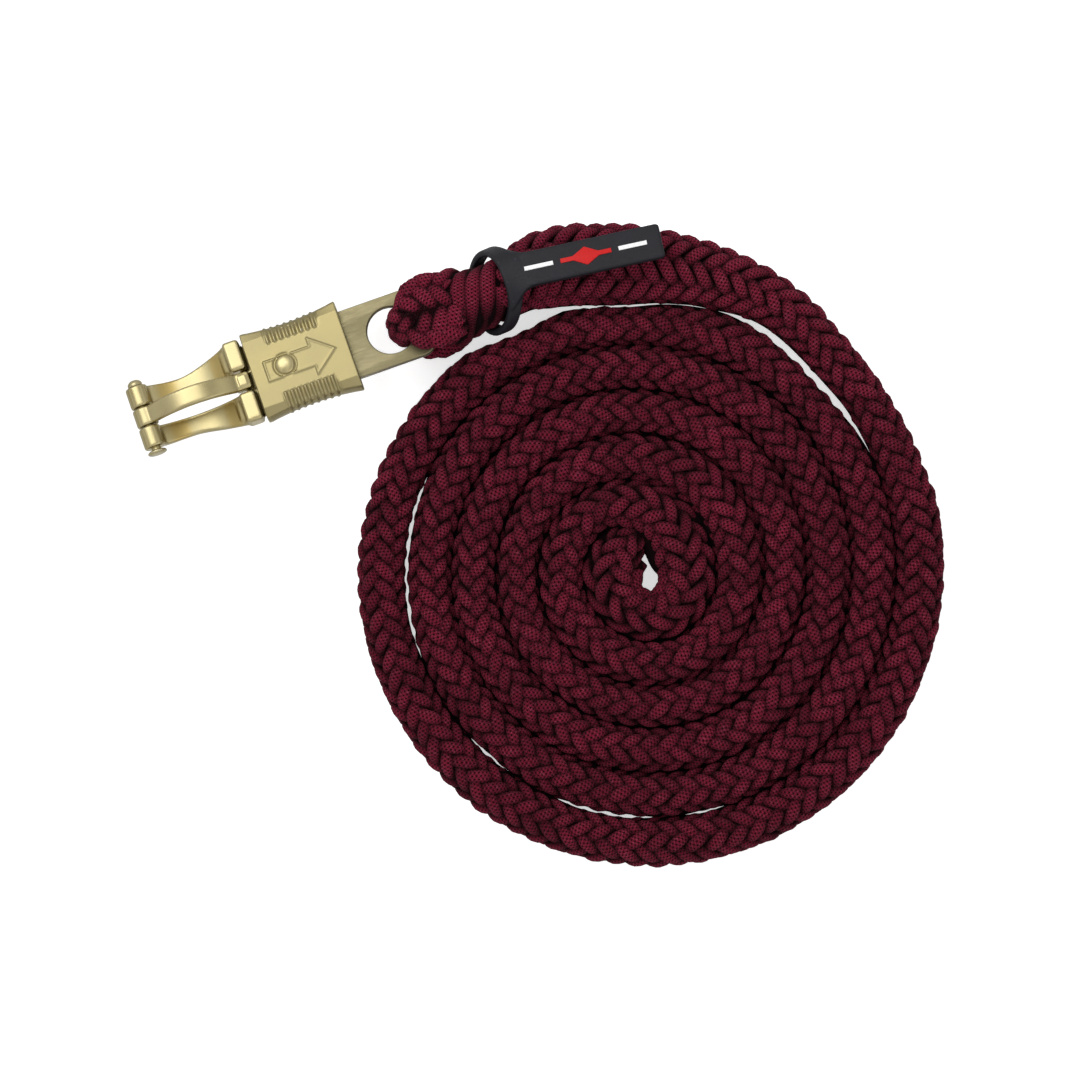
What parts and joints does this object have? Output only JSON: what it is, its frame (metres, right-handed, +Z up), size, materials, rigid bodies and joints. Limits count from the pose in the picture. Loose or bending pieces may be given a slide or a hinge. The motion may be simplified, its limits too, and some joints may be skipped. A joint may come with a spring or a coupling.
{
  "type": "lead rope with panic snap",
  "caption": "Round braided lead rope laid in a flat coil, its outer end spliced through the eye of a quick-release panic snap, with a rubber tag round the splice.",
  "frame": {"origin": "middle of the whole object's footprint, on the floor it lies on", "axes": "+X along the longest side of the footprint, from the snap towards the coil; +Z up from the floor; +Y towards the side where the spliced lead runs"},
  "size_m": [0.2878, 0.2254, 0.0331],
  "materials": {
    "braided_rope": "matte burgundy braid of knitted synthetic strands",
    "rope_core_yarn": "matte filler yarn",
    "satin_gold_casting": "satin champagne-gold plating on a cast part",
    "satin_gold_pressing": "satin champagne-gold plating on a pressed tube",
    "brushed_gold_plate": "brushed dull gold strip",
    "spring_steel": "drawn spring wire",
    "charcoal_rubber": "matte charcoal rubber",
    "white_print": "matte white print",
    "red_print": "matte red print"
  },
  "bodies": {
    "coil": {"rope_cover_coil": "braided_rope", "rope_core_coil": "rope_core_yarn"},
    "link": {"rope_cover_link": "braided_rope", "rope_core_link": "rope_core_yarn"},
    "lead": {"rope_cover_lead": "braided_rope", "rope_buried_tail": "braided_rope", "rope_splice_collar": "braided_rope", "rope_eye_loop": "braided_rope"},
    "hook": {"eye_plate": "brushed_gold_plate", "fork_jaw": "satin_gold_casting", "hinge_pin": "satin_gold_casting", "jaw_rivet_left": "satin_gold_casting", "jaw_rivet_right": "satin_gold_casting", "return_spring": "spring_steel"},
    "sleeve": {"sliding_sleeve": "satin_gold_pressing", "guide_rivet": "satin_gold_casting"},
    "gate": {"gate_arm": "satin_gold_casting"},
    "tag": {"rubber_tag": "charcoal_rubber", "tag_dash_front": "white_print", "tag_dash_rear": "white_print", "tag_emblem": "red_print"}
  },
  "joints": [
    {"name": "lead_swing", "type": "hinge", "parent": "coil", "child": "link", "pos_m": [0.13021, 0.02372, 0.01], "axis": [0, 0, -1], "range_deg": [0, 30]},
    {"name": "lead_lift", "type": "hinge", "parent": "link", "child": "lead", "pos_m": [0.09125, 0.07843, 0.01], "axis": [0.6702, 0.7422, 0], "range_deg": [0, 35]},
    {"name": "hook_swing", "type": "hinge", "parent": "lead", "child": "hook", "pos_m": [-0.03999, 0.07829, 0.0146], "axis": [-0.3287, 0.9283, -0.1736], "range_deg": [-35, 35]},
    {"name": "sleeve_slide", "type": "slide", "parent": "hook", "child": "sleeve", "axis": [0.9426, 0.3338, 0], "range_m": [0, 0.011], "deforming": ["return_spring"]},
    {"name": "gate_hinge", "type": "hinge", "parent": "hook", "child": "gate", "pos_m": [-0.13652, 0.04411, 0.0146], "axis": [0.3287, -0.9283, 0.1736], "range_deg": [0, 75.5]},
    {"name": "tag_turn", "type": "hinge", "parent": "lead", "child": "tag", "pos_m": [-0.01438, 0.08829, 0.0158], "axis": [0.9214, 0.3885, 0], "range_deg": [-10, 25]}
  ],
  "couplings": [
    {"joint": "gate_hinge", "follows": "sleeve_slide", "rad_per_m": 119}
  ]
}
